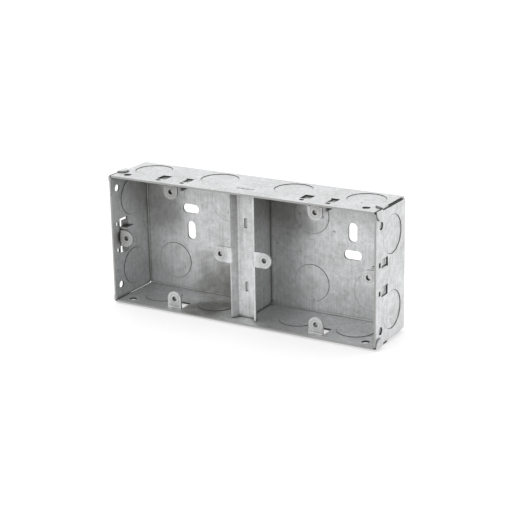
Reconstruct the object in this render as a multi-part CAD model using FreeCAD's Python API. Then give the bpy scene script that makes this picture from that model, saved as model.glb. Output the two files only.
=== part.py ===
"""Dual flush back box: two single gang compartments in one folded steel tray.

The box stands on its bottom wall. +X runs along the box, +Z is up and the open
front faces -Y. The origin is the centre of the back plate's outer face, which is
the face that goes against the masonry. All sizes are in millimetres.
"""
import FreeCAD, Part
import math
import os

from FreeCAD import Vector

# Overall size of the folded tray, outside
WIDTH = 160.0
HEIGHT = 72.0
DEPTH = 35.0
SHEET = 1.0
BACK_BEND = 0.8          # inside radius where a wall leaves the back plate
FOLD_GAP = 0.12          # air left between two faces of sheet that lie together

# Screw places of the accessories. Each screw is set in from what carries its lug,
# and with these sizes the screws of a compartment are 60.3 apart both ways.
LONG_WALL_SCREW_INSET = 5.85   # from the outer face of the top or bottom
END_WALL_SCREW_INSET = 6.35    # from the outer face of a side wall
DIVIDER_SCREW_REACH = 13.35    # from the middle of the divider

# Fixing lugs, tapped for M3.5
LUG_WIDTH = 8.4
LUG_DEPTH = 4.5          # from the front rim to the face of a lug
LUG_BEND = 0.6           # inside radius of a lug's bend
TAP_BORE = 2.9
COLLAR_DIAMETER = 5.0
COLLAR_LENGTH = 1.3

# Plain lugs of the bottom wall are cut from the sheet behind them
LANCE_LENGTH = 8.6
LANCE_CLEARANCE = 0.25

# The top and side walls hold adjustable lugs. Two cheeks are bent in from windows in
# the wall, and a T shaped lug slides under the wall with its ears through the cheeks.
# A small hole lies between each window and the rim.
CHEEK_SPACING = 9.0      # between the inner faces of the two cheeks
CHEEK_HEIGHT = 5.4       # from the wall's outer face
CHEEK_BEND = 0.4
WINDOW_START = 6.5       # depth from the rim
WINDOW_END = 13.6        # depth from the rim
WINDOW_WIDTH = 4.4       # outwards from a cheek
FRONT_HOLE_START = 3.3   # depth from the rim
FRONT_HOLE_LENGTH = 2.1
FRONT_HOLE_WIDTH = 2.5
FRONT_HOLE_ACROSS = 7.5  # from the lug's middle to the hole's
LUG_TRAVEL = 1.9         # either way from the middle
EAR_SPAN = 17.8          # over both ears
EAR_START = 7.6          # depth from the rim
EAR_LENGTH = 4.9
SLIDE_CLEARANCE = 0.12   # between a lug and the sheet that guides it
STOP_CLEARANCE = 0.3     # between a lug's neck and a cheek at the end of the travel

# Corner tabs: the top and bottom lap the side walls, and the side walls lap them
FRONT_TAB_START = 0.5
REAR_TAB_START = 7.4
TAB_WIDTH = 6.2
TAB_LENGTH = 5.0
TAB_BEND = 0.4

# Round holes near the ends of every wall
CORNER_HOLE_DIAMETER = 4.2
CORNER_HOLE_INSET = 8.3  # from the box's corner
CORNER_HOLE_DEPTH = 5.7  # from the rim

# Knockouts for 20 mm conduit: discs that a press has set a little into the box
KNOCKOUT_DIAMETER = 20.4
KNOCKOUT_STEP = 0.3
TOP_KNOCKOUT_DEPTH = 20.8      # from the rim
TOP_KNOCKOUT_INSET = 15.5      # outer ones, from the box's ends
TOP_KNOCKOUT_MIDDLE = 22.4     # inner ones, from the box's middle
BOTTOM_KNOCKOUT_DEPTH = 18.6
BOTTOM_KNOCKOUT_INSET = 20.2
BOTTOM_KNOCKOUT_MIDDLE = 25.5
END_KNOCKOUT_DEPTH = 18.9
END_KNOCKOUT_INSET = 15.9      # from the top and bottom
BACK_KNOCKOUT_INSET = 18.8     # outer ones, from the box's ends
BACK_KNOCKOUT_MIDDLE = 25.85   # inner ones, from the box's middle
BACK_KNOCKOUT_UP_INSET = 17.1  # from the top and bottom

# Wall fixing slots in the back plate: one upright and one level per compartment
FIXING_SLOT_LENGTH = 10.4
FIXING_SLOT_WIDTH = 5.2
FIXING_SLOT_INSET = 29.9       # from the box's ends
UPPER_SLOT_UP = 12.4           # from the box's middle
LOWER_SLOT_UP = 0.0

# Divider: a splayed channel between the compartments and a partition behind it
CHANNEL_WIDTH = 15.1           # over the front edges of the flanges
CHANNEL_SPLAY = math.radians(25.0)
CHANNEL_WEB_DEPTH = 9.0        # from the rim to the web's front face
CHANNEL_BEND = 1.2
CHANNEL_TAB_WIDTH = 9.2
DIVIDER_CLEARANCE = 0.12       # to the inside of the top and bottom
PARTITION_TAB_LENGTH = 4.8
PARTITION_TAB_UP = 17.5        # above and below the centre
PARTITION_TAB_RECESS = 0.3     # behind the web's front face
BACK_SLOT_CLEARANCE = 0.12
WEB_SLOT_CLEARANCE = 0.3

# Places that follow from the sizes above
HALF_WIDTH = WIDTH / 2.0
HALF_HEIGHT = HEIGHT / 2.0
COMPARTMENT_CENTRE = (HALF_WIDTH - END_WALL_SCREW_INSET + DIVIDER_SCREW_REACH) / 2.0
COMPARTMENTS = (-COMPARTMENT_CENTRE, COMPARTMENT_CENTRE)
BEND_OUTSIDE = BACK_BEND + SHEET
RIM = -DEPTH
TOP_TURN = 0                   # degrees about Y from the top wall's place
RIGHT_TURN = 90
BOTTOM_TURN = 180
LEFT_TURN = 270
MARGIN = 1.0                   # by which a cutting tool passes a face
TOUCHING = 1e-6                # points nearer than this are one


def box(x0, x1, y0, y1, z0, z1):
    """A block between two opposite corners."""
    return Part.makeBox(x1 - x0, y1 - y0, z1 - z0, Vector(x0, y0, z0))


def extrude(wire, direction):
    """A flat closed wire swept into a solid."""
    return Part.Face(wire).extrude(direction)


def polygon(points):
    """A closed wire through the points."""
    return Part.makePolygon(points + points[:1])


def bent_strip(start, first, second, inside, lead, tail, width, across):
    """A strip of sheet with one right angle bend.

    start is the strip's outer edge line where its straight lead begins, first is
    the way the lead runs and second is the way the tail runs after the bend. The
    bend's outside faces away from second. width is measured along across.
    """
    outside = inside + SHEET
    half = 0.5 * math.sqrt(2.0)
    corner = start + first * (lead + outside)
    centre = start + first * lead + second * outside
    outer_mid = centre + (first - second) * (outside * half)
    inner_mid = centre + (first - second) * (inside * half)
    a = start
    b = start + first * lead
    c = corner + second * outside
    d = corner + second * (outside + tail)
    e = d - first * SHEET
    f = c - first * SHEET
    g = b + second * SHEET
    h = a + second * SHEET
    edges = [Part.Arc(b, outer_mid, c).toShape(), Part.Arc(f, inner_mid, g).toShape()]
    for p, q in ((a, b), (c, d), (d, e), (e, f), (g, h), (h, a)):
        if p.distanceToPoint(q) > TOUCHING:
            edges.append(Part.LineSegment(p, q).toShape())
    return extrude(Part.Wire(Part.__sortEdges__(edges)), across * width)


def oblong(centre, along, through, length, width, thickness):
    """A round ended bar, used to cut slots; it is centred on the given point."""
    side = along.cross(through)
    reach = length / 2.0 - width / 2.0
    radius = width / 2.0
    back = centre - through * (thickness / 2.0)
    a = back + along * reach + side * radius
    b = back - along * reach + side * radius
    c = back - along * reach - side * radius
    d = back + along * reach - side * radius
    edges = [
        Part.LineSegment(a, b).toShape(),
        Part.Arc(b, back - along * (reach + radius), c).toShape(),
        Part.LineSegment(c, d).toShape(),
        Part.Arc(d, back + along * (reach + radius), a).toShape(),
    ]
    return extrude(Part.Wire(edges), through * thickness)


def press_knockout(shape, centre, normal):
    """The shape with one knockout disc pressed a little way through the sheet.

    centre lies on the outer face and normal points away from the material. The
    disc stays joined to the sheet all round.
    """
    radius = KNOCKOUT_DIAMETER / 2.0
    hollow = Part.makeCylinder(radius, KNOCKOUT_STEP + MARGIN,
                               centre - normal * KNOCKOUT_STEP, normal)
    raised = Part.makeCylinder(radius, KNOCKOUT_STEP,
                               centre - normal * (SHEET + KNOCKOUT_STEP), normal)
    return shape.cut(hollow).fuse(raised)


def lug_plate(root, inward, across, reach):
    """A lug's flat plate with its round end, tapped hole and collar.

    root is the middle of the plate's front face where it leaves its bend, inward
    the way it runs, and reach the distance from there to the screw's axis.
    """
    back = Vector(0, 1, 0)
    half = LUG_WIDTH / 2.0
    centre = root + inward * reach
    a = root - across * half
    b = centre - across * half
    c = centre + across * half
    d = root + across * half
    outline = Part.Wire([
        Part.LineSegment(a, b).toShape(),
        Part.Arc(b, centre + inward * half, c).toShape(),
        Part.LineSegment(c, d).toShape(),
        Part.LineSegment(d, a).toShape(),
    ])
    plate = extrude(outline, back * SHEET)
    collar = Part.makeCylinder(COLLAR_DIAMETER / 2.0, SHEET + COLLAR_LENGTH, centre, back)
    bore = Part.makeCylinder(TAP_BORE / 2.0, SHEET + COLLAR_LENGTH + 2.0 * MARGIN,
                             centre - back * MARGIN, back)
    return plate.fuse(collar).cut(bore)


class Wall:
    """One wall of the tray, worked out in the top wall's place.

    reach is the distance from the box's axis to the wall's outer face, across is
    half of the box's size along the wall, corner is what the rear bend stops short
    of the box's corner, and turn is how far the finished wall is turned about the
    Y axis. A place on the wall is (u, d): u along it and d back from the front rim.
    """

    def __init__(self, reach, across, corner, turn):
        self.reach = reach
        self.across = across
        self.turn = turn
        self.end = across - SHEET - FOLD_GAP
        self.shape = self.sheet(across - corner)

    def point(self, u, d, sink=0.0):
        """A point on the wall, sunk below its outer face."""
        return Vector(u, RIM + d, self.reach - sink)

    def sheet(self, bend_end):
        """The flat wall with the bend that joins it to the back plate."""
        flat = box(-self.end, self.end, RIM, -BEND_OUTSIDE, self.reach - SHEET, self.reach)
        bend = bent_strip(Vector(-bend_end, -BEND_OUTSIDE, self.reach), Vector(0, 1, 0),
                          Vector(0, 0, -1), BACK_BEND, 0.0, 0.0, 2.0 * bend_end,
                          Vector(1, 0, 0))
        return flat.fuse(bend)

    def cut_corner_holes(self):
        """The round holes near both ends of the wall."""
        for side in (-1, 1):
            place = self.point(side * (self.across - CORNER_HOLE_INSET),
                               CORNER_HOLE_DEPTH, SHEET + MARGIN)
            hole = Part.makeCylinder(CORNER_HOLE_DIAMETER / 2.0, SHEET + 2.0 * MARGIN,
                                     place, Vector(0, 0, 1))
            self.shape = self.shape.cut(hole)

    def press_knockouts(self, places, depth):
        """Knockouts at each place along the wall and on both sides of its middle."""
        for u in places:
            for side in (-1, 1):
                self.shape = press_knockout(self.shape, self.point(side * u, depth),
                                            Vector(0, 0, 1))

    def add_corner_tabs(self, start):
        """Tabs at both ends of the wall, folded over the outside of the next one."""
        outside = TAB_BEND + SHEET
        bend_start = self.across + FOLD_GAP - TAB_BEND
        for side in (-1, 1):
            first = Vector(side, 0, 0)
            root = Vector(side * (self.end - MARGIN), RIM + start, self.reach)
            lead = bend_start - (self.end - MARGIN)
            tab = bent_strip(root, first, Vector(0, 0, -1), TAB_BEND, lead,
                             TAB_LENGTH - outside, TAB_WIDTH, Vector(0, 1, 0))
            self.shape = self.shape.fuse(self.round_tab_end(tab, side, start))

    def round_tab_end(self, tab, side, start):
        """The tab cut to a round end."""
        radius = TAB_WIDTH / 2.0
        middle = RIM + start + radius
        end_height = self.reach - TAB_LENGTH + radius
        face = side * (self.across + FOLD_GAP + SHEET)
        inner = side * (self.across - MARGIN)
        x0, x1 = sorted((inner, face + side * MARGIN))
        below = box(x0, x1, RIM + start - MARGIN, RIM + start + TAB_WIDTH + MARGIN,
                    self.reach - TAB_LENGTH - MARGIN, end_height)
        disc = Part.makeCylinder(radius, x1 - x0, Vector(x0, middle, end_height),
                                 Vector(1, 0, 0))
        return tab.cut(below.cut(disc))

    def add_cheeks(self, u):
        """Two windows with cheeks bent in from them, slotted for a lug's ears."""
        y0 = RIM + WINDOW_START
        y1 = RIM + WINDOW_END
        below = self.reach - SHEET - MARGIN
        above = self.reach + MARGIN
        for side in (-1, 1):
            face = u + side * (CHEEK_SPACING / 2.0 + SHEET)
            x0, x1 = sorted((face, face + side * WINDOW_WIDTH))
            window = box(x0, x1, y0, y1, below, above)
            root = Vector(face - side * (CHEEK_BEND + SHEET), y0, self.reach)
            cheek = bent_strip(root, Vector(side, 0, 0), Vector(0, 0, -1), CHEEK_BEND, 0.0,
                               CHEEK_HEIGHT - CHEEK_BEND - SHEET, y1 - y0, Vector(0, 1, 0))
            x0, x1 = sorted((root.x, face))
            blank = box(x0, x1, y0, y1, self.reach - SHEET, self.reach)
            self.shape = self.shape.cut(window).cut(blank).fuse(cheek)
            middle = u + side * FRONT_HOLE_ACROSS
            y = RIM + FRONT_HOLE_START
            hole = box(middle - FRONT_HOLE_WIDTH / 2.0, middle + FRONT_HOLE_WIDTH / 2.0,
                       y, y + FRONT_HOLE_LENGTH, below, above)
            self.shape = self.shape.cut(hole)
        self.shape = self.shape.cut(self.ear_slot(u))

    def ear_slot(self, u):
        """The cut through both cheeks, under the wall, in which the ears slide."""
        half = CHEEK_SPACING / 2.0 + SHEET + MARGIN
        y0 = RIM + EAR_START - SLIDE_CLEARANCE
        return box(u - half, u + half, y0, y0 + EAR_LENGTH + 2.0 * SLIDE_CLEARANCE,
                   self.reach - 2.0 * (SHEET + SLIDE_CLEARANCE), self.reach - SHEET)

    def add_lanced_lug(self, u, screw_sink):
        """A plain lug, cut from the sheet behind it and bent in."""
        outside = LUG_BEND + SHEET
        lug_face = RIM + LUG_DEPTH
        half = LUG_WIDTH / 2.0
        gap = half + LANCE_CLEARANCE
        y0 = lug_face + SHEET - outside
        window = box(u - gap, u + gap, y0, y0 + outside + LANCE_LENGTH,
                     self.reach - SHEET - MARGIN, self.reach + MARGIN)
        bend = bent_strip(Vector(u - half, y0, self.reach), Vector(0, 1, 0), Vector(0, 0, -1),
                          LUG_BEND, 0.0, 0.0, LUG_WIDTH, Vector(1, 0, 0))
        root = Vector(u, lug_face, self.reach - outside)
        plate = lug_plate(root, Vector(0, 0, -1), Vector(1, 0, 0), screw_sink - outside)
        self.shape = self.shape.cut(window).fuse(bend).fuse(plate)

    def cut_channel_slot(self):
        """The slot that takes the divider channel's tab."""
        half = CHANNEL_TAB_WIDTH / 2.0 + BACK_SLOT_CLEARANCE
        y0 = RIM + CHANNEL_WEB_DEPTH - BACK_SLOT_CLEARANCE
        tool = box(-half, half, y0, y0 + SHEET + 2.0 * BACK_SLOT_CLEARANCE,
                   self.reach - SHEET - MARGIN, self.reach + MARGIN)
        self.shape = self.shape.cut(tool)

    def placed(self):
        """The wall turned into its own place on the box."""
        shape = self.shape.copy()
        shape.rotate(Vector(0, 0, 0), Vector(0, 1, 0), self.turn)
        return shape


def top_wall():
    """The top wall, with cheeks for two adjustable lugs and four knockouts."""
    wall = Wall(HALF_HEIGHT, HALF_WIDTH, SHEET + FOLD_GAP, TOP_TURN)
    wall.cut_corner_holes()
    wall.press_knockouts((HALF_WIDTH - TOP_KNOCKOUT_INSET, TOP_KNOCKOUT_MIDDLE),
                         TOP_KNOCKOUT_DEPTH)
    wall.cut_channel_slot()
    for centre in COMPARTMENTS:
        wall.add_cheeks(centre)
    wall.add_corner_tabs(FRONT_TAB_START)
    return wall.placed()


def bottom_wall():
    """The bottom wall, with two plain lugs and four knockouts."""
    wall = Wall(HALF_HEIGHT, HALF_WIDTH, SHEET + FOLD_GAP, BOTTOM_TURN)
    wall.cut_corner_holes()
    wall.press_knockouts((HALF_WIDTH - BOTTOM_KNOCKOUT_INSET, BOTTOM_KNOCKOUT_MIDDLE),
                         BOTTOM_KNOCKOUT_DEPTH)
    wall.cut_channel_slot()
    for centre in COMPARTMENTS:
        wall.add_lanced_lug(centre, LONG_WALL_SCREW_INSET)
    wall.add_corner_tabs(FRONT_TAB_START)
    return wall.placed()


def side_wall(turn):
    """A side wall, with cheeks for one adjustable lug and two knockouts."""
    wall = Wall(HALF_WIDTH, HALF_HEIGHT, BEND_OUTSIDE, turn)
    wall.cut_corner_holes()
    wall.press_knockouts((HALF_HEIGHT - END_KNOCKOUT_INSET,), END_KNOCKOUT_DEPTH)
    wall.add_cheeks(0.0)
    wall.add_corner_tabs(REAR_TAB_START)
    return wall.placed()


def back_plate():
    """The flat back with its knockouts, fixing slots and partition slots."""
    half_x = HALF_WIDTH - BEND_OUTSIDE
    half_z = HALF_HEIGHT - BEND_OUTSIDE
    plate = box(-half_x, half_x, -SHEET, 0.0, -half_z, half_z)
    across = Vector(1, 0, 0)
    up = Vector(0, 0, 1)
    through = Vector(0, 1, 0)
    outer = HALF_WIDTH - BACK_KNOCKOUT_INSET
    level = HALF_HEIGHT - BACK_KNOCKOUT_UP_INSET
    knockouts = ((BACK_KNOCKOUT_MIDDLE, level), (BACK_KNOCKOUT_MIDDLE, -level), (outer, -level))
    slot_x = HALF_WIDTH - FIXING_SLOT_INSET
    for side in (-1, 1):
        for x, z in knockouts:
            plate = press_knockout(plate, Vector(side * x, 0.0, z), through)
    slots = (
        (-slot_x, UPPER_SLOT_UP, across),
        (-slot_x, LOWER_SLOT_UP, up),
        (slot_x, UPPER_SLOT_UP, up),
        (slot_x, LOWER_SLOT_UP, across),
    )
    for x, z, along in slots:
        plate = plate.cut(oblong(Vector(x, 0, z), along, through, FIXING_SLOT_LENGTH,
                                 FIXING_SLOT_WIDTH, 2.0 * (SHEET + MARGIN)))
    return plate.cut(partition_slots(-SHEET - MARGIN, MARGIN, BACK_SLOT_CLEARANCE))


def partition_slots(y0, y1, clearance):
    """Two slots for the partition's tabs, between the depths y0 and y1."""
    half_x = SHEET / 2.0 + clearance
    half_z = PARTITION_TAB_LENGTH / 2.0 + clearance
    tools = [box(-half_x, half_x, y0, y1, side * PARTITION_TAB_UP - half_z,
                 side * PARTITION_TAB_UP + half_z) for side in (-1, 1)]
    return tools[0].fuse(tools[1])


def box_body():
    """The tray: a back plate and four walls, all folded from one sheet."""
    body = back_plate()
    for wall in (top_wall(), side_wall(RIGHT_TURN), bottom_wall(), side_wall(LEFT_TURN)):
        body = body.fuse(wall)
    return body.removeSplitter()


def divider_channel():
    """A splayed channel open to the front, with a lug bent out of each flange."""
    front = RIM + LUG_DEPTH
    web_front = RIM + CHANNEL_WEB_DEPTH
    web_back = web_front + SHEET
    tall = HALF_HEIGHT - SHEET - DIVIDER_CLEARANCE
    slope = math.tan(CHANNEL_SPLAY)
    edge_out = Vector(CHANNEL_WIDTH / 2.0, front + SHEET * math.sin(CHANNEL_SPLAY), -tall)
    edge_in = Vector(edge_out.x - SHEET * math.cos(CHANNEL_SPLAY), front, -tall)
    root_in = Vector(edge_in.x - (web_front - front) * slope, web_front, -tall)
    root_out = Vector(edge_out.x - (web_back - edge_out.y) * slope, web_back, -tall)
    right = [edge_in, edge_out, root_out]
    left = [mirrored(point) for point in reversed(right)]
    outline = [root_in] + right + left + [mirrored(root_in)]
    channel = extrude(polygon(outline), Vector(0, 0, 2.0 * tall))
    for point, radius in ((root_in, CHANNEL_BEND), (root_out, CHANNEL_BEND + SHEET)):
        channel = round_upright_edge(channel, point, radius)
        channel = round_upright_edge(channel, mirrored(point), radius)
    for side in (-1, 1):
        channel = channel_lug(channel, side, edge_in, front)
    tab = box(-CHANNEL_TAB_WIDTH / 2.0, CHANNEL_TAB_WIDTH / 2.0, web_front, web_back,
              -HALF_HEIGHT, HALF_HEIGHT)
    channel = channel.fuse(tab)
    channel = channel.cut(partition_slots(web_front - MARGIN, web_back + MARGIN,
                                          WEB_SLOT_CLEARANCE))
    return channel.removeSplitter()


def mirrored(point):
    """The same place on the other side of the box's middle."""
    return Vector(-point.x, point.y, point.z)


def round_upright_edge(shape, point, radius):
    """The shape with the upright edge that starts at the point rounded."""
    edges = [edge for edge in shape.Edges
             if edge.Vertexes[0].Point.distanceToPoint(point) < TOUCHING
             or edge.Vertexes[-1].Point.distanceToPoint(point) < TOUCHING]
    upright = [edge for edge in edges if edge.BoundBox.XLength + edge.BoundBox.YLength < TOUCHING]
    return shape.makeFillet(radius, upright)


def channel_lug(channel, side, edge_in, front):
    """The channel with one lug bent outwards from the front edge of a flange."""
    outside = LUG_BEND + SHEET
    low = -LUG_WIDTH / 2.0
    forward = Vector(side * math.sin(CHANNEL_SPLAY), -math.cos(CHANNEL_SPLAY), 0)
    outward = Vector(side * math.cos(CHANNEL_SPLAY), math.sin(CHANNEL_SPLAY), 0)
    across = Vector(side, 0, 0)
    corner = Vector(side * edge_in.x, front, low)
    start = corner - forward * outside
    a = start - outward * MARGIN
    b = start + outward * (SHEET + MARGIN)
    reach = forward * (outside + MARGIN)
    end_of_flange = extrude(polygon([a, b, b + reach, a + reach]), Vector(0, 0, LUG_WIDTH))
    turn = math.pi / 2.0 - CHANNEL_SPLAY
    root = corner + across * (outside * math.tan(turn / 2.0))
    hollow = corner + Vector(0, SHEET, 0) + across * (SHEET * math.tan(turn / 2.0))
    tip = root + across * MARGIN
    outline = [start, corner, tip, tip + Vector(0, SHEET, 0), hollow, start + outward * SHEET]
    bend = extrude(polygon(outline), Vector(0, 0, LUG_WIDTH))
    bend = round_upright_edge(bend, corner, outside)
    bend = round_upright_edge(bend, hollow, LUG_BEND)
    middle = Vector(root.x, front, 0)
    plate = lug_plate(middle, across, Vector(0, 0, 1), DIVIDER_SCREW_REACH - abs(root.x))
    return channel.cut(end_of_flange).fuse(bend).fuse(plate)


def partition():
    """The plate that closes the space behind the channel, held by four tabs.

    Its rear corners are cut off to clear the bends of the back plate.
    """
    half = SHEET / 2.0
    web_front = RIM + CHANNEL_WEB_DEPTH
    web_back = web_front + SHEET
    tall = HALF_HEIGHT - SHEET - DIVIDER_CLEARANCE
    low = tall - BACK_BEND
    rear = -SHEET - BACK_BEND
    outline = ((web_back, -tall), (rear, -tall), (-SHEET, -low),
               (-SHEET, low), (rear, tall), (web_back, tall))
    plate = extrude(polygon([Vector(-half, y, z) for y, z in outline]), Vector(SHEET, 0, 0))
    for side in (-1, 1):
        z = side * PARTITION_TAB_UP - PARTITION_TAB_LENGTH / 2.0
        plate = plate.fuse(box(-half, half, web_front + PARTITION_TAB_RECESS, 0.0,
                               z, z + PARTITION_TAB_LENGTH))
    return plate.removeSplitter()


def adjustable_lug(reach, u, screw_inset, turn):
    """One T shaped lug in the middle of its travel, worked out as in Wall."""
    back = Vector(0, 1, 0)
    down = Vector(0, 0, -1)
    across = Vector(1, 0, 0)
    outside = LUG_BEND + SHEET
    top = reach - SHEET - SLIDE_CLEARANCE
    rear = RIM + EAR_START + EAR_LENGTH
    front = RIM + LUG_DEPTH
    half_neck = CHEEK_SPACING / 2.0 - LUG_TRAVEL - STOP_CLEARANCE
    neck = bent_strip(Vector(u - half_neck, rear, top), back * -1.0, down, LUG_BEND,
                      rear - front - outside, 0.0, 2.0 * half_neck, across)
    ears = box(u - EAR_SPAN / 2.0, u + EAR_SPAN / 2.0, rear - EAR_LENGTH, rear,
               top - SHEET, top)
    root = Vector(u, front, top - outside)
    plate = lug_plate(root, down, across, screw_inset - SHEET - SLIDE_CLEARANCE - outside)
    lug = neck.fuse(ears).fuse(plate).removeSplitter()
    lug.rotate(Vector(0, 0, 0), back, turn)
    return lug


def save(name, shape):
    """One sub-part, written as a STEP file in the box's own frame."""
    solid = shape.Solids[0] if len(shape.Solids) == 1 else shape
    solid.exportStep("parts/" + name + ".step")
    print(name, "solids", len(shape.Solids), "valid", shape.isValid(),
          "volume", round(shape.Volume, 1))


os.makedirs("parts", exist_ok=True)
save("box_body", box_body())
save("divider_channel", divider_channel())
save("partition", partition())
save("top_left_adjustable_lug",
     adjustable_lug(HALF_HEIGHT, -COMPARTMENT_CENTRE, LONG_WALL_SCREW_INSET, TOP_TURN))
save("top_right_adjustable_lug",
     adjustable_lug(HALF_HEIGHT, COMPARTMENT_CENTRE, LONG_WALL_SCREW_INSET, TOP_TURN))
save("left_adjustable_lug", adjustable_lug(HALF_WIDTH, 0.0, END_WALL_SCREW_INSET, LEFT_TURN))
save("right_adjustable_lug", adjustable_lug(HALF_WIDTH, 0.0, END_WALL_SCREW_INSET, RIGHT_TURN))
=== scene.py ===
"""Looks for the flush back box: galvanised sheet, a plain floor, soft light, camera.

Everything is in metres, in the frame of the CAD model: +X along the box, +Z up, the
open front facing -Y.
"""
import math

import bpy
from mathutils import Matrix, Vector


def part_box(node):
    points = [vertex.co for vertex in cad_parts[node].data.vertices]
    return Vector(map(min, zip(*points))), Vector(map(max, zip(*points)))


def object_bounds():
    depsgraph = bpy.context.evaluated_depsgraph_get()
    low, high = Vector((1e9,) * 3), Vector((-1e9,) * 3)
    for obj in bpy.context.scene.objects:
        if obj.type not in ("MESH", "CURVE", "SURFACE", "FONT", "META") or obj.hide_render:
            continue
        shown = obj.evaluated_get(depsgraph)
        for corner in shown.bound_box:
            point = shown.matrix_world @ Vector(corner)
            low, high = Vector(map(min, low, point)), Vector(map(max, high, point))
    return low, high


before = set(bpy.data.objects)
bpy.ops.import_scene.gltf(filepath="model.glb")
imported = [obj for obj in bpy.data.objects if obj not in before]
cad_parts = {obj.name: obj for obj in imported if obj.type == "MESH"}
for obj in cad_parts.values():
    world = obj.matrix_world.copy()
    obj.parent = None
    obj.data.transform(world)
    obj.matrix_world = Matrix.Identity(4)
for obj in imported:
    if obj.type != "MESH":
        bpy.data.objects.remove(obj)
cad_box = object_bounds()

# The photograph's camera, measured from the middle of the open front
IMAGE_SIZE = 515.0            # pixels
FOCAL_PIXELS = 1501.0
SENSOR_WIDTH = 36.0           # mm
CLIP_START = 0.01
CAMERA_AZIMUTH = math.radians(30.55)
CAMERA_ELEVATION = math.radians(17.91)
CAMERA_ROLL = math.radians(-1.07)
CAMERA_DISTANCE = 0.7826
TARGET_RIGHT = -20.04         # where the target shows, pixels right of the middle
TARGET_UP = -2.25             # and above it

# The floor, which glows a little, so that it shows white
FLOOR_HALF = 3.0
FLOOR_GREY = 0.5
FLOOR_ROUGHNESS = 0.8
FLOOR_GLOW = 0.5

# The white surround: the way to its brightest part, between which cosines of the
# angle to that way it grades, and its least and most light
SKY_WAY = (-0.10, 0.0, 0.99)
SKY_FROM = -0.3
SKY_TO = 1.0
SKY_LOW = 0.58
SKY_HIGH = 1.45
KEY_PLACE = (-0.60, -0.80, 0.80)
KEY_SIZE = 0.6
KEY_POWER = 1.0

# Colours of the galvanised sheet
ZINC_LIGHT = (0.765, 0.77, 0.785, 1.0)
ZINC_DARK = (0.485, 0.49, 0.485, 1.0)
# The dark colour of painted shade in hollows, corners and bends and on shaded parts, and of the
# dark specks
SHADE_AND_DIRT = (0.10, 0.103, 0.082, 1.0)
RIM_EDGE = (0.36, 0.36, 0.355, 1.0)
# Near black: the dull sheared steel of the cut faces, darkened further with painted shade in the
# openings
SHADED_CUT_EDGE = (0.07, 0.07, 0.068, 1.0)
# Painted shade in the knockouts' press grooves
GROOVE_SHADE = (0.12, 0.12, 0.115, 1.0)
METALLIC = 0.85
ROUGHNESS_DARK = 0.54
ROUGHNESS_LIGHT = 0.40

# Noise patterns: features per metre, detail, roughness
CLOUDS = (55.0, 4.0, 0.6)
STREAKS = (900.0, 3.0, 0.6)
SPECKLE = (1600.0, 2.0, 0.7)
BLOTCHES = (420.0, 4.0, 0.65)
SPECKS = (300.0, 1.0, 0.5)
LINE_BREAKUP = (70.0, 2.0, 0.5)
PATCH_EDGE = (110.0, 3.0, 0.6)
CRYSTALS = 380.0              # crystals per metre
# The range of each noise that is used
CLOUD_RANGE = (0.35, 0.68)
FINE_RANGE = (0.3, 0.7)
SPECK_RANGE = (0.74, 0.80)
WEAR_RANGE = (0.4, 0.6)
EDGE_RANGE = (0.2, 0.8)
# The rolling marks run up the box; each piece's patterns are moved on by one step
GRAIN_SCALE = (1.0, 1.0, 0.06)
PATTERN_STEP = (0.31, 0.17, 0.23)
# What the patterns add to the tone, from 0, dark, to 1, light, and to the relief
CLOUD_TONES = (0.36, 0.72)
CRYSTAL_SHARE = 0.16
BLOTCH_SHARE = 0.5
STREAK_SHARE = 0.4
SPECKLE_SHARE = 0.35
STREAK_RELIEF = 0.5
CLOUD_RELIEF = 1.5
BUMP_STRENGTH = 0.25
BUMP_DISTANCE = 0.00006

# Painted shade in hollows and in corners: reach, and the openness at which the shade is full and
# gone
OPENNESS_SAMPLES = 8
HOLLOW_REACH = 0.03
HOLLOW_OPENNESS = (0.25, 0.85)
HOLLOW_SHADES = (0.0, 0.85)   # at the bottom and at the top of the box
CORNER_REACH = 0.003
CORNER_OPENNESS = (0.45, 0.78)
CORNER_SHADE = 0.85
SPECK_SHADE = 0.5

# Half sizes of the box over its walls' outer faces, and the sheet
HALF_LONG = 0.080
HALF_HIGH = 0.036
SHEET = 0.001
FRONT = cad_box[0][1]

# Painted shade along the inside of the bends round the back plate, at the end walls and the long
# walls
BEND_INSIDE = 0.98 * SHEET
BEND_REACH = 0.0018
BEND_FADE = 1.2
BEND_SHADE = 0.6
LONG_BEND_SHADE = 0.35

# Bands from a wall's outer face inwards, where a look fades in
RIM_BAND = (0.00005, 0.0002)
GROOVE_SHADE_BAND = (1.4 * SHEET, 1.2 * SHEET)
PATCH_BAND = (1.6 * SHEET, 1.4 * SHEET)
PATCH_INSIDE = 0.65 * SHEET
FLOOR_BAND = 0.5 * SHEET
CUT_BAND = (1.1 * SHEET, SHEET)
# Cut faces start behind the rim, end before the bends, and leave out the corner tabs
CUT_BEHIND_RIM = (0.0002, 0.0003)
CUT_BEFORE_BEND = (-0.0035, -0.0034)
CUT_OVER_WALL = 0.05 * SHEET
CUT_MARGIN = (3.0 * SHEET, 2.9 * SHEET)
CUT_FACING = (0.3, 0.4)       # a face across the sheet has less than this of its way

# The lugs' front faces, the screw holes in them, counted the same to both sides, the painted shade
# round the foot of the holes' pressed collars, and the plates painted darker
LUG_FRONT = -0.0305
LUG_FRONT_BAND = (0.0001, 0.0002)
LUG_HOLES = ((0.0435, 0.03015), (0.07365, 0.0), (0.01335, 0.0))
RING_RADIUS = 0.0026
RING_FADE = (0.0001, 0.0005)
RING_SHADE = 0.42
LUG_RADIUS = (0.0044, 0.0052)
LUG_SHADE = 0.18
# Painted shade over the lugs that lie in the shade of the walls, as a share
LUG_PAINTED_SHADE = {"top_left_adjustable_lug": 0.5, "left_adjustable_lug": 0.4,
                "top_right_adjustable_lug": 0.1}

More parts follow.
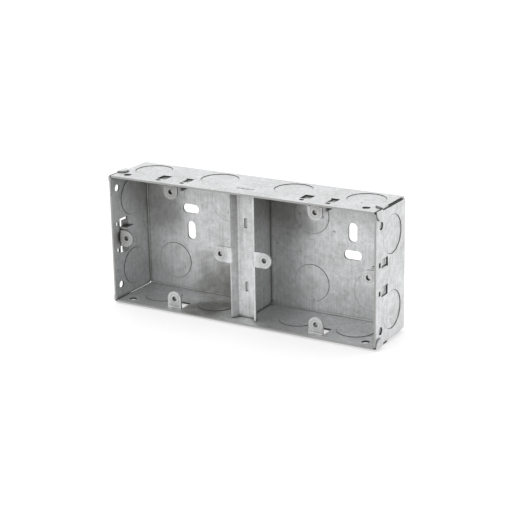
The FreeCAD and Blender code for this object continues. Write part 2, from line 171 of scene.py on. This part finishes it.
# The divider's tabs in the long walls: middle of the slot, half its length with the
# line round it, half its width with the line, and the marks on the tab
TAB_SLOT_DEPTH = -0.0255
TAB_SLOT_REACH = 0.0051
TAB_SLOT_HALF = 0.00095
TAB_SLOT_BAND = 0.1 * SHEET
TAB_MARK_PLACE = 0.0015
TAB_MARK_FADE = (0.0003, 0.0005)
TAB_MARK_SHADE = 0.9
TAB_MARK_BAND = 0.6 * SHEET
# The partition's front tabs in the channel, painted darker
TAB_DARKENING = 0.45
TAB_DARK_BACK = TAB_SLOT_DEPTH + 0.5 * SHEET

# Painted shade patches: x, the way up or along the depth, radius and strength
BACK_SHADE_PATCHES = ((-0.0655, 0.010, 0.013, 0.40), (-0.030, -0.030, 0.021, 0.62),
               (0.014, 0.020, 0.017, 0.45))
BOTTOM_SHADE_PATCHES = ((-0.026, -0.026, 0.017, 0.75),)
PATCH_FADE = (0.2, 1.3)       # in radii of the patch
PATCH_RAGGED = 0.35

# Painted shade on the cheeks beside the sliding lugs
CHEEK_TOP = 0.028
CHEEK_END = 0.072
CHEEK_SPREAD = 0.010
CHEEK_FACING = 0.7
CHEEK_SHADE = 0.75

# Painted shade: the dark lines in the grooves that the press leaves round the knockouts
KNOCKOUT_RADIUS = 0.0102
KNOCKOUT_LINE = (0.00006, 0.00028)
KNOCKOUT_SHADE = 0.9
TOP_LINE = 0.65               # the same on the top wall, as a share
LINE_LEAST = 0.75             # what the breakup noise leaves of a line
# The knockouts' middles: along the wall, counted the same to both sides, and along
# the depth, or up on the back plate
TOP_KNOCKOUTS = ((0.0645, -0.0142), (0.0224, -0.0142))
BOTTOM_KNOCKOUTS = ((0.0598, -0.0164), (0.0255, -0.0164))
END_KNOCKOUTS = ((0.0201, -0.0161),)
BACK_KNOCKOUTS = ((0.02585, 0.0189), (0.02585, -0.0189), (0.0612, -0.0189))


class Tree:
    """A short way to add shader nodes to a material or world and join them."""

    def __init__(self, owner):
        self.nodes = owner.node_tree.nodes
        self.links = owner.node_tree.links

    def add(self, kind, inputs=None, **settings):
        """One node, with its settings and its inputs set or joined."""
        node = self.nodes.new(kind)
        for name, value in settings.items():
            setattr(node, name, value)
        for name, value in (inputs or {}).items():
            self.feed(node.inputs[name], value)
        return node

    def feed(self, socket, value):
        """A value set on a socket, or another socket joined to it."""
        if isinstance(value, bpy.types.NodeSocket):
            self.links.new(value, socket)
        else:
            socket.default_value = value

    def split(self, vector):
        """The three parts of a vector."""
        node = self.add("ShaderNodeSeparateXYZ", {"Vector": vector})
        return [node.outputs[way] for way in "XYZ"]

    def noise(self, vector, scale, detail, roughness):
        """Noise between 0 and 1 at a scale in features per metre."""
        node = self.add("ShaderNodeTexNoise", {"Vector": vector, "Scale": scale,
                                               "Detail": detail, "Roughness": roughness})
        return node.outputs["Fac"]

    def spread(self, value, low, high, to_low=0.0, to_high=1.0, kind="LINEAR"):
        """A value's range low to high brought to another range, and held there."""
        node = self.add("ShaderNodeMapRange", {"Value": value, "From Min": low,
                                               "From Max": high, "To Min": to_low,
                                               "To Max": to_high},
                        interpolation_type=kind)
        return node.outputs["Result"]

    def below(self, value, low, high, full=1.0):
        """full up to low, and nothing from high on."""
        return self.spread(value, low, high, full, 0.0)

    def math(self, operation, first, second=0.0):
        """One sum of two values, or of one where the operation takes one."""
        node = self.add("ShaderNodeMath", {0: first, 1: second}, operation=operation)
        return node.outputs["Value"]

    def size(self, value):
        """A value without its sign."""
        return self.math("ABSOLUTE", value)

    def off(self, value, place):
        """How far a value is from a place."""
        return self.size(self.math("SUBTRACT", value, place))

    def product(self, first, *others):
        """Several values multiplied."""
        for other in others:
            first = self.math("MULTIPLY", first, other)
        return first

    def largest(self, first, *others):
        """The largest of several values."""
        for other in others:
            first = self.math("MAXIMUM", first, other)
        return first

    def distance(self, first, second, spot):
        """How far the point with two coordinates is from a spot."""
        across = self.math("SUBTRACT", first, spot[0])
        along = self.math("SUBTRACT", second, spot[1])
        squares = self.math("ADD", self.product(across, across), self.product(along, along))
        return self.math("SQRT", squares)

    def mix(self, factor, first, second):
        """Two colours mixed."""
        node = self.add("ShaderNodeMix", data_type="RGBA")
        self.feed(node.inputs[0], factor)
        self.feed(node.inputs[6], first)
        self.feed(node.inputs[7], second)
        return node.outputs[2]


def photo_camera():
    """The camera at the photograph's viewing angle."""
    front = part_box("box_body")[0][1]
    target = Vector((0.0, front, 0.0))
    back = Vector((math.sin(CAMERA_AZIMUTH) * math.cos(CAMERA_ELEVATION),
                   -math.cos(CAMERA_AZIMUTH) * math.cos(CAMERA_ELEVATION),
                   math.sin(CAMERA_ELEVATION)))
    right = Vector((0.0, 0.0, 1.0)).cross(back).normalized()
    up = back.cross(right)
    roll = Matrix.Rotation(CAMERA_ROLL, 3, back)
    right = roll @ right
    up = roll @ up
    pixel = CAMERA_DISTANCE / FOCAL_PIXELS
    place = target + back * CAMERA_DISTANCE - right * TARGET_RIGHT * pixel - up * TARGET_UP * pixel
    data = bpy.data.cameras.new("photo_camera")
    data.sensor_width = SENSOR_WIDTH
    data.lens = FOCAL_PIXELS / IMAGE_SIZE * SENSOR_WIDTH
    data.clip_start = CLIP_START
    camera = bpy.data.objects.new("photo_camera", data)
    turn = Matrix((right, up, back)).transposed()
    camera.matrix_world = Matrix.Translation(place) @ turn.to_4x4()
    bpy.context.scene.collection.objects.link(camera)
    bpy.context.scene.camera = camera


def pale_floor():
    """A plain floor under the box."""
    height = cad_box[0][2]
    mesh = bpy.data.meshes.new("floor")
    corners = [(-FLOOR_HALF, -FLOOR_HALF, height), (FLOOR_HALF, -FLOOR_HALF, height),
               (FLOOR_HALF, FLOOR_HALF, height), (-FLOOR_HALF, FLOOR_HALF, height)]
    mesh.from_pydata(corners, [], [(0, 1, 2, 3)])
    floor = bpy.data.objects.new("floor", mesh)
    bpy.context.scene.collection.objects.link(floor)
    paint = bpy.data.materials.new("floor_paint")
    paint.use_nodes = True
    shader = paint.node_tree.nodes["Principled BSDF"]
    shader.inputs["Base Color"].default_value = (FLOOR_GREY, FLOOR_GREY, FLOOR_GREY, 1.0)
    shader.inputs["Roughness"].default_value = FLOOR_ROUGHNESS
    shader.inputs["Emission Color"].default_value = (1.0, 1.0, 1.0, 1.0)
    shader.inputs["Emission Strength"].default_value = FLOOR_GLOW
    mesh.materials.append(paint)


def surround():
    """A white surround that is brighter from above."""
    world = bpy.data.worlds.new("studio_world")
    world.use_nodes = True
    sky = Tree(world)
    backdrop = world.node_tree.nodes["Background"]
    backdrop.inputs["Color"].default_value = (1.0, 1.0, 1.0, 1.0)
    way = sky.add("ShaderNodeTexCoord").outputs["Generated"]
    facing = sky.add("ShaderNodeVectorMath", {0: way, 1: SKY_WAY}, operation="DOT_PRODUCT")
    glow = sky.spread(facing.outputs["Value"], SKY_FROM, SKY_TO, SKY_LOW, SKY_HIGH)
    sky.feed(backdrop.inputs["Strength"], glow)
    bpy.context.scene.world = world
    bpy.context.scene.view_settings.view_transform = "Standard"


def key_light():
    """One soft square light that points at the box."""
    data = bpy.data.lights.new("key_light", "AREA")
    data.shape = "RECTANGLE"
    data.size = KEY_SIZE
    data.size_y = KEY_SIZE
    data.energy = KEY_POWER
    lamp = bpy.data.objects.new("key_light", data)
    lamp.location = KEY_PLACE
    lamp.rotation_euler = (-Vector(KEY_PLACE)).to_track_quat("-Z", "Y").to_euler()
    bpy.context.scene.collection.objects.link(lamp)


def facing(tree):
    """How much a face looks along each of the three ways."""
    normal = tree.add("ShaderNodeTexCoord").outputs["Normal"]
    return [tree.size(part) for part in tree.split(normal)]


def knockout_groove_shade(tree, place):
    """Where the painted shade in the knockouts' press grooves is on the box."""
    x, y, z = tree.split(place)
    long, high = tree.size(x), tree.size(z)
    fade, full = GROOVE_SHADE_BAND
    top = tree.spread(z, HALF_HIGH - fade, HALF_HIGH - full, 0.0, TOP_LINE)
    bottom = tree.spread(z, -HALF_HIGH + fade, -HALF_HIGH + full)
    end = tree.spread(long, HALF_LONG - fade, HALF_LONG - full)
    back = tree.spread(y, -fade, -full)
    lines = []
    for wall, first, second, spots in ((top, long, y, TOP_KNOCKOUTS),
                                       (bottom, long, y, BOTTOM_KNOCKOUTS),
                                       (end, high, y, END_KNOCKOUTS),
                                       (back, long, z, BACK_KNOCKOUTS)):
        for spot in spots:
            off = tree.off(tree.distance(first, second, spot), KNOCKOUT_RADIUS)
            line = tree.below(off, *KNOCKOUT_LINE, KNOCKOUT_SHADE)
            lines.append(tree.product(wall, line))
    broken_up = tree.spread(tree.noise(place, *LINE_BREAKUP), *WEAR_RANGE, LINE_LEAST, 1.0)
    return tree.product(tree.largest(*lines), broken_up)


def inner_bends(tree, place):
    """Painted shade along the inside of the bends between the back plate and the walls."""
    x, y, z = tree.split(place)
    depth = tree.math("SUBTRACT", 0.0, y)
    from_end = tree.math("SUBTRACT", HALF_LONG, tree.size(x))
    from_long = tree.math("SUBTRACT", HALF_HIGH, tree.size(z))
    across = tree.math("MINIMUM", from_end, from_long)
    inside = tree.product(tree.math("GREATER_THAN", depth, BEND_INSIDE),
                          tree.math("GREATER_THAN", across, BEND_INSIDE))
    near = tree.math("MAXIMUM", depth, across)
    line = tree.product(inside, tree.below(near, BEND_REACH, BEND_FADE * BEND_REACH))
    on_end_wall = tree.math("LESS_THAN", from_end, from_long)
    return line, on_end_wall


def lug_plates(tree, place):
    """The lugs' plates painted darker, and painted shade round the foot of the collars round their
    screw holes.
    """
    x, y, z = tree.split(place)
    long, high = tree.size(x), tree.size(z)
    fade_from, fade_to = LUG_FRONT_BAND
    front = tree.below(y, LUG_FRONT + fade_from, LUG_FRONT + fade_to)
    shades = []
    for hole in LUG_HOLES:
        away = tree.distance(long, high, hole)
        shades.append(tree.below(tree.off(away, RING_RADIUS), *RING_FADE, RING_SHADE))
        shades.append(tree.below(away, *LUG_RADIUS, LUG_SHADE))
    return tree.product(tree.largest(*shades), front)


def cut_faces(tree, place):
    """The faces that are cut through the box's sheet: holes, windows and slots, painted near black
    for their dull sheared steel and for painted shade in the openings.
    """
    x, y, z = tree.split(place)
    long, high = tree.size(x), tree.size(z)
    along_x, along_y, along_z = facing(tree)
    fade, full = CUT_BAND
    rim_from, rim_to = CUT_BEHIND_RIM
    front = tree.product(tree.spread(y, FRONT + rim_from, FRONT + rim_to),
                         tree.below(y, *CUT_BEFORE_BEND))
    level = tree.product(tree.spread(high, HALF_HIGH - fade, HALF_HIGH - full),
                         tree.below(along_z, *CUT_FACING))
    upright = tree.product(tree.spread(long, HALF_LONG - fade, HALF_LONG - full),
                           tree.below(along_x, *CUT_FACING))
    walls = tree.product(front, tree.largest(level, upright),
                         tree.math("LESS_THAN", high, HALF_HIGH + CUT_OVER_WALL),
                         tree.math("LESS_THAN", long, HALF_LONG + CUT_OVER_WALL))
    back = tree.product(tree.spread(y, -fade, -full), tree.below(along_y, *CUT_FACING))
    outer, inner = CUT_MARGIN
    middle = tree.product(tree.below(long, HALF_LONG - outer, HALF_LONG - inner),
                          tree.below(high, HALF_HIGH - outer, HALF_HIGH - inner))
    return tree.largest(walls, tree.product(back, middle))


def cheeks(tree, place):
    """Painted shade on the sides of the cheeks beside the sliding lugs, which lie in their shade.
    """
    x, _, z = tree.split(place)
    long, high = tree.size(x), tree.size(z)
    along_x, _, along_z = facing(tree)
    off_lug = tree.off(long, LUG_HOLES[0][0])
    under_top = tree.product(tree.math("GREATER_THAN", z, CHEEK_TOP),
                             tree.math("GREATER_THAN", along_x, CHEEK_FACING),
                             tree.math("LESS_THAN", off_lug, CHEEK_SPREAD))
    at_end = tree.product(tree.math("GREATER_THAN", long, CHEEK_END),
                          tree.math("GREATER_THAN", along_z, CHEEK_FACING),
                          tree.math("LESS_THAN", high, CHEEK_SPREAD))
    return tree.product(tree.largest(under_top, at_end), CHEEK_SHADE)


def shade_patches(tree, place):
    """Painted shade: the darker clouds that the photograph shows inside, on the back and the
    bottom.
    """
    x, y, z = tree.split(place)
    fade, full = PATCH_BAND
    on_back = tree.product(tree.spread(y, -fade, -full),
                           tree.math("LESS_THAN", y, -PATCH_INSIDE))
    on_bottom = tree.product(tree.spread(z, -HALF_HIGH + fade, -HALF_HIGH + full),
                             tree.math("GREATER_THAN", z, -HALF_HIGH + PATCH_INSIDE))
    ragged = tree.spread(tree.noise(place, *PATCH_EDGE), *EDGE_RANGE,
                         -PATCH_RAGGED, PATCH_RAGGED)
    clouds = []
    for wall, second, spots in ((on_back, z, BACK_SHADE_PATCHES), (on_bottom, y, BOTTOM_SHADE_PATCHES)):
        for across, along, radius, strength in spots:
            away = tree.distance(x, second, (across, along))
            away = tree.math("ADD", tree.math("DIVIDE", away, radius), ragged)
            cloud = tree.spread(away, *PATCH_FADE, strength, 0.0, "SMOOTHSTEP")
            clouds.append(tree.product(wall, cloud))
    return tree.largest(*clouds)


def slot_lines(tree, place):
    """The dark lines round the divider's tabs where they come through the long walls."""
    x, y, z = tree.split(place)
    off = tree.off(y, TAB_SLOT_DEPTH)
    return tree.product(tree.math("LESS_THAN", tree.size(x), TAB_SLOT_REACH),
                        tree.math("LESS_THAN", off, TAB_SLOT_HALF),
                        tree.math("GREATER_THAN", tree.size(z), HALF_HIGH - TAB_SLOT_BAND))


def tab_marks(tree, place):
    """The dark marks that split the end of each divider tab into three."""
    x, _, z = tree.split(place)
    off = tree.off(tree.size(x), TAB_MARK_PLACE)
    mark = tree.below(off, *TAB_MARK_FADE, TAB_MARK_SHADE)
    return tree.product(mark,
                        tree.math("GREATER_THAN", tree.size(z), HALF_HIGH - TAB_MARK_BAND))


def galvanised(name, shift):
    """Galvanised sheet: cloudy zinc, small crystals, rolling marks, dark specks, and painted shade
    in hollows, corners and bends.

    name is the CAD node that it is for, and shift moves the pattern, so that each
    piece has its own.
    """
    material = bpy.data.materials.new(name + "_zinc")
    material.use_nodes = True
    tree = Tree(material)
    shader = material.node_tree.nodes["Principled BSDF"]
    place = tree.add("ShaderNodeTexCoord").outputs["Object"]
    moved = tree.add("ShaderNodeMapping", {"Vector": place, "Location": shift}).outputs["Vector"]
    stretched = tree.add("ShaderNodeMapping", {"Vector": moved,
                                               "Scale": GRAIN_SCALE}).outputs["Vector"]

    clouds = tree.spread(tree.noise(moved, *CLOUDS), *CLOUD_RANGE)
    cells = tree.add("ShaderNodeTexVoronoi", {"Vector": moved, "Scale": CRYSTALS})
    red = tree.add("ShaderNodeSeparateColor", {"Color": cells.outputs["Color"]}).outputs["Red"]
    crystal = tree.spread(red, 0.0, 1.0, -0.5, 0.5)
    streaks = tree.spread(tree.noise(stretched, *STREAKS), *FINE_RANGE, -0.5, 0.5)
    speckle = tree.spread(tree.noise(moved, *SPECKLE), *FINE_RANGE, -0.5, 0.5)
    blotch = tree.spread(tree.noise(moved, *BLOTCHES), *FINE_RANGE, -0.5, 0.5)
    tone = tree.spread(clouds, 0.0, 1.0, *CLOUD_TONES)
    for pattern, share in ((crystal, CRYSTAL_SHARE), (blotch, BLOTCH_SHARE),
                           (streaks, STREAK_SHARE), (speckle, SPECKLE_SHARE)):
        tone = tree.math("ADD", tone, tree.product(pattern, share))
    tone = tree.spread(tone, 0.0, 1.0)
    zinc = tree.mix(tone, ZINC_DARK, ZINC_LIGHT)

    _, depth, height = tree.split(place)
    rim_from, rim_to = RIM_BAND
    zinc = tree.mix(tree.below(depth, FRONT + rim_from, FRONT + rim_to), zinc, RIM_EDGE)
    # Painted shade in hollows, darker towards the top of the box
    hollow = tree.add("ShaderNodeAmbientOcclusion", {"Distance": HOLLOW_REACH},
                      samples=OPENNESS_SAMPLES)
    shade = tree.product(tree.below(hollow.outputs["AO"], *HOLLOW_OPENNESS),
                         tree.spread(height, -HALF_HIGH, HALF_HIGH, *HOLLOW_SHADES))
    zinc = tree.mix(shade, zinc, SHADE_AND_DIRT)

    # Painted shade in corners and creases, joined with the dark specks
    corner = tree.add("ShaderNodeAmbientOcclusion", {"Distance": CORNER_REACH},
                      samples=OPENNESS_SAMPLES)
    off_floor = tree.spread(height, -HALF_HIGH - FLOOR_BAND, -HALF_HIGH + FLOOR_BAND)
    shade_and_specks = tree.product(off_floor,
                         tree.below(corner.outputs["AO"], *CORNER_OPENNESS, CORNER_SHADE))
    specks = tree.spread(tree.noise(moved, *SPECKS), *SPECK_RANGE, 0.0, SPECK_SHADE)
    shade_and_specks = tree.largest(shade_and_specks, specks)
    if name == "box_body":
        # On the box, painted shade along the inner bends takes the place of the corner shade there
        line, on_end_wall = inner_bends(tree, place)
        dark = tree.spread(on_end_wall, 0.0, 1.0, LONG_BEND_SHADE, BEND_SHADE)
        keep = tree.math("SUBTRACT", 1.0, line)
        shade_and_specks = tree.math("ADD", tree.product(shade_and_specks, keep), tree.product(dark, line))
    zinc = tree.mix(shade_and_specks, zinc, SHADE_AND_DIRT)

    # Painted shade over the lugs that lie in the walls' shade
    if name in LUG_PAINTED_SHADE:
        zinc = tree.mix(LUG_PAINTED_SHADE[name], zinc, SHADE_AND_DIRT)
    # The lug plates painted darker, with painted shade round the foot of the hole collars
    zinc = tree.mix(lug_plates(tree, place), zinc, SHADE_AND_DIRT)
    if name == "divider_channel":
        zinc = tree.mix(tab_marks(tree, place), zinc, SHADE_AND_DIRT)
    if name == "partition":
        front_tabs = tree.math("LESS_THAN", depth, TAB_DARK_BACK)
        zinc = tree.mix(tree.product(front_tabs, TAB_DARKENING), zinc, SHADE_AND_DIRT)
    if name == "box_body":
        # Painted shade patches on the back plate and the bottom wall
        zinc = tree.mix(shade_patches(tree, place), zinc, SHADE_AND_DIRT)
        zinc = tree.mix(slot_lines(tree, place), zinc, SHADED_CUT_EDGE)
        # Painted shade in the grooves round the knockouts
        zinc = tree.mix(knockout_groove_shade(tree, place), zinc, GROOVE_SHADE)
        # Painted shade on the cheeks beside the sliding lugs
        zinc = tree.mix(cheeks(tree, place), zinc, SHADE_AND_DIRT)
        # Cut faces: dull sheared steel with painted shade in the openings
        zinc = tree.mix(cut_faces(tree, place), zinc, SHADED_CUT_EDGE)
    tree.feed(shader.inputs["Base Color"], zinc)
    shader.inputs["Metallic"].default_value = METALLIC
    tree.feed(shader.inputs["Roughness"],
              tree.spread(tone, 0.0, 1.0, ROUGHNESS_DARK, ROUGHNESS_LIGHT))

    relief = tree.math("ADD", tree.product(streaks, STREAK_RELIEF), speckle)
    relief = tree.math("ADD", relief, tree.product(clouds, CLOUD_RELIEF))
    bump = tree.add("ShaderNodeBump", {"Height": relief, "Strength": BUMP_STRENGTH,
                                       "Distance": BUMP_DISTANCE})
    tree.feed(shader.inputs["Normal"], bump.outputs["Normal"])
    return material


def dress():
    """Every CAD node gets its own galvanised finish."""
    for number, name in enumerate(sorted(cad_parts)):
        shift = tuple(step * number for step in PATTERN_STEP)
        material = galvanised(name, shift)
        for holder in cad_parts[name].material_slots:
            holder.material = material


photo_camera()
pale_floor()
surround()
key_light()
dress()
